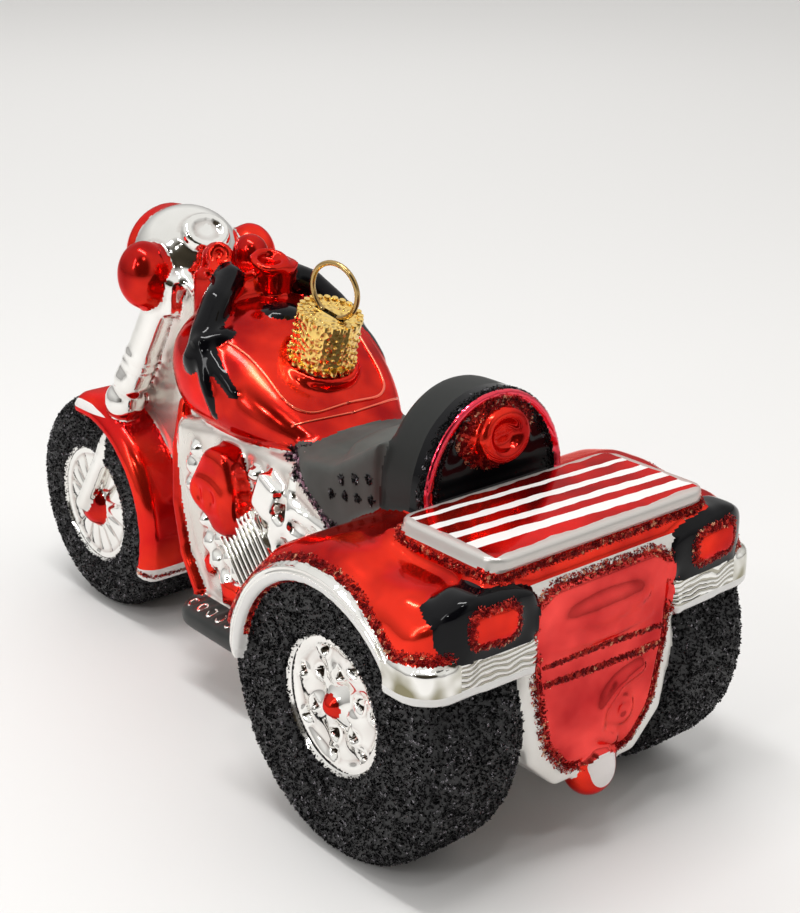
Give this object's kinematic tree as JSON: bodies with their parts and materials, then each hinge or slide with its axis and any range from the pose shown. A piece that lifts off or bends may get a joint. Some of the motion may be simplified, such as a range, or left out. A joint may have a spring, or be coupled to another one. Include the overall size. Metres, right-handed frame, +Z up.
{
  "type": "christmas tree ornament",
  "caption": "Blown-glass tree ornament in the shape of a motorized trike, silvered and lacquered, with glitter tyres, an embossed gilt cap and a wire hanging loop.",
  "frame": {"origin": "on the floor plane under the middle of the whole ornament", "axes": "-Y towards the trike's front, +X towards its left side, +Z up"},
  "size_m": [0.0636, 0.1335, 0.0737],
  "materials": {
    "black_glitter": "coarse glitter",
    "silver_glass": "mirror silvered",
    "red_lacquer": "transparent lacquer over silvering",
    "white_enamel": "gloss enamel",
    "clear_glass": "bare glass",
    "pearl_silver": "satin silvered",
    "pearl_white": "pearl lacquer",
    "black_lacquer": "gloss lacquer",
    "black_matte": "matte lacquer",
    "gilt_cap": "gilt, embossed",
    "brass_wire": "drawn wire"
  },
  "bodies": {
    "glass_body": {"rear_tyres": "black_glitter", "rear_wheel_discs": "silver_glass", "rear_hubs": "red_lacquer", "front_tyre": "black_glitter", "front_wheel_disc": "silver_glass", "front_hubs": "red_lacquer", "front_fender": "red_lacquer", "front_fender_edge": "white_enamel", "neck": "clear_glass", "tank": "red_lacquer", "engine_case": "pearl_silver", "fork_web": "pearl_silver", "filler_cap": "black_lacquer", "fork_legs": "silver_glass", "headlamp_ring": "red_lacquer", "headlamp_shell": "silver_glass", "side_lamps": "red_lacquer", "handlebar_clamp": "silver_glass", "dash_block": "red_lacquer", "switch_knobs": "red_lacquer", "mirror_cup": "red_lacquer", "grips": "black_lacquer", "cylinders": "silver_glass", "air_cleaner": "red_lacquer", "frame_rails": "red_lacquer", "footboards": "black_matte", "backrest": "black_lacquer", "seat": "black_matte", "backrest_piping": "red_lacquer", "backrest_lamp": "red_lacquer", "trunk_lid": "white_enamel", "trunk": "red_lacquer", "rear_body": "pearl_white", "rear_panel": "red_lacquer", "tail_nub": "red_lacquer", "rear_fenders": "red_lacquer", "fender_lips": "silver_glass", "bumpers": "silver_glass", "tail_pods": "black_lacquer", "tail_lenses": "red_lacquer"},
    "hanger": {"cap": "gilt_cap", "wire_loop": "brass_wire"}
  },
  "joints": [
    {"name": "cap_pull", "type": "slide", "parent": "glass_body", "child": "hanger", "axis": [0, 0.309, 0.9511], "range_m": [0, 0.012]}
  ]
}
